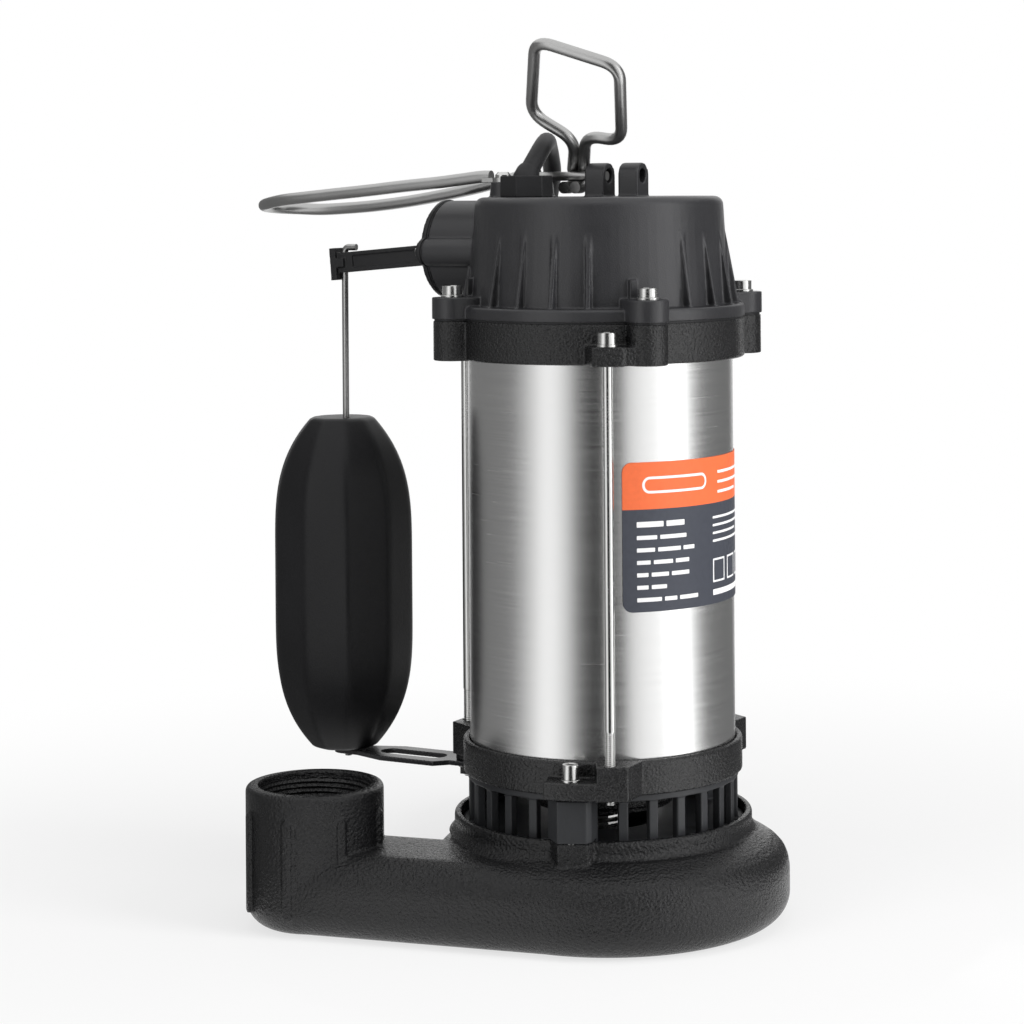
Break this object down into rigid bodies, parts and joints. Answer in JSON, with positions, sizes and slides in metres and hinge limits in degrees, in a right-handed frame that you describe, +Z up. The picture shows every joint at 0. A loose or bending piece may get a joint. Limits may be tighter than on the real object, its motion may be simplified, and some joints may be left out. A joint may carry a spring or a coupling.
{
  "type": "submersible sump pump",
  "caption": "Submersible sump pump: cast volute with threaded side discharge, suction cage, steel motor tube, domed cap, rod float switch, lifting handle and coiled cord.",
  "frame": {"origin": "on the floor, on the axis of the motor shaft", "axes": "+Z up along the shaft; the discharge arm points along -X; the float switch stands out 10 degrees from -X towards +Y"},
  "size_m": [0.2552, 0.324, 0.3767],
  "materials": {
    "cast_black": "textured black enamel",
    "cage_plastic": "moulded dark grey",
    "black_plastic": "moulded black, fine texture",
    "stainless": "brushed",
    "bright_steel": "bright zinc",
    "wire_steel": "drawn wire",
    "black_steel": "black oxide",
    "label_film": "printed film",
    "black_rubber": "smooth",
    "impeller_plastic": "glass-filled",
    "laminations": "varnished",
    "copper": "enamelled copper",
    "ceramic": "ground",
    "carbon": "lapped",
    "light_plastic": "moulded",
    "grey_metal": "drawn can",
    "blade_brass": "satin"
  },
  "bodies": {
    "housing": {"volute": "cast_black", "cage": "cage_plastic", "seal_seat": "ceramic", "lip_seal": "black_rubber", "lower_flange": "cast_black", "lower_bearing": "bright_steel", "lower_oring": "black_rubber", "motor_tube": "stainless", "nameplate": "label_film", "stator_core": "laminations", "stator_windings": "copper", "upper_flange": "cast_black", "upper_bearing": "bright_steel", "upper_oring": "black_rubber", "tie_rods": "bright_steel", "tie_rod_washers": "bright_steel", "volute_bolts": "bright_steel", "cap_gasket": "black_rubber", "cap": "black_plastic", "cap_screws": "bright_steel", "capacitor": "grey_metal", "capacitor_clip": "bright_steel", "terminal_block": "light_plastic", "switch_cover": "black_plastic", "cover_gasket": "black_rubber", "cover_screws": "bright_steel", "micro_switch": "black_plastic", "lever_pin": "bright_steel", "float_bracket": "black_steel", "bracket_nut": "bright_steel", "guard_loop": "wire_steel", "guard_screws": "bright_steel", "bail_pin": "wire_steel", "gland_nut": "black_plastic", "gland_bush": "black_rubber", "power_cord": "black_rubber", "cord_coil": "black_rubber", "cord_tail": "black_rubber", "plug_body": "black_rubber", "plug_blades": "blade_brass", "coil_tie": "black_rubber"},
    "rotor": {"impeller": "impeller_plastic", "impeller_bolt": "bright_steel", "shaft": "bright_steel", "rotor_core": "laminations", "seal_rotor": "carbon", "seal_spring": "bright_steel"},
    "lever": {"float_lever": "black_plastic", "lever_boot": "black_rubber"},
    "button": {"switch_button": "light_plastic"},
    "rod": {"float_rod": "bright_steel"},
    "float_body": {"float": "black_plastic"},
    "handle": {"bail": "wire_steel"}
  },
  "joints": [
    {"name": "rotor_spin", "type": "hinge", "parent": "housing", "child": "rotor", "pos_m": [0, 0, 0.1], "axis": [0, 0, 1], "continuous": true},
    {"name": "lever_pivot", "type": "hinge", "parent": "housing", "child": "lever", "pos_m": [-0.06992, 0.01233, 0.2855], "axis": [0.1736, 0.9848, 0], "range_deg": [0, 3.5]},
    {"name": "rod_swivel", "type": "hinge", "parent": "lever", "child": "rod", "pos_m": [-0.12901, 0.02275, 0.28046], "axis": [0.1736, 0.9848, 0], "range_deg": [-3.6, 0]},
    {"name": "float_rise", "type": "slide", "parent": "rod", "child": "float_body", "axis": [0, 0, 1], "range_m": [0, 0.06]},
    {"name": "button_press", "type": "slide", "parent": "housing", "child": "button", "axis": [0, 0, -1], "range_m": [0, 0.0008]},
    {"name": "handle_swing", "type": "hinge", "parent": "housing", "child": "handle", "pos_m": [-0.00139, -0.00788, 0.3189], "axis": [-0.9848, 0.1736, 0], "range_deg": [-20, 60]}
  ],
  "couplings": [
    {"joint": "rod_swivel", "follows": "lever_pivot", "ratio": -1},
    {"joint": "button_press", "follows": "lever_pivot", "m_per_rad": 0.011}
  ]
}
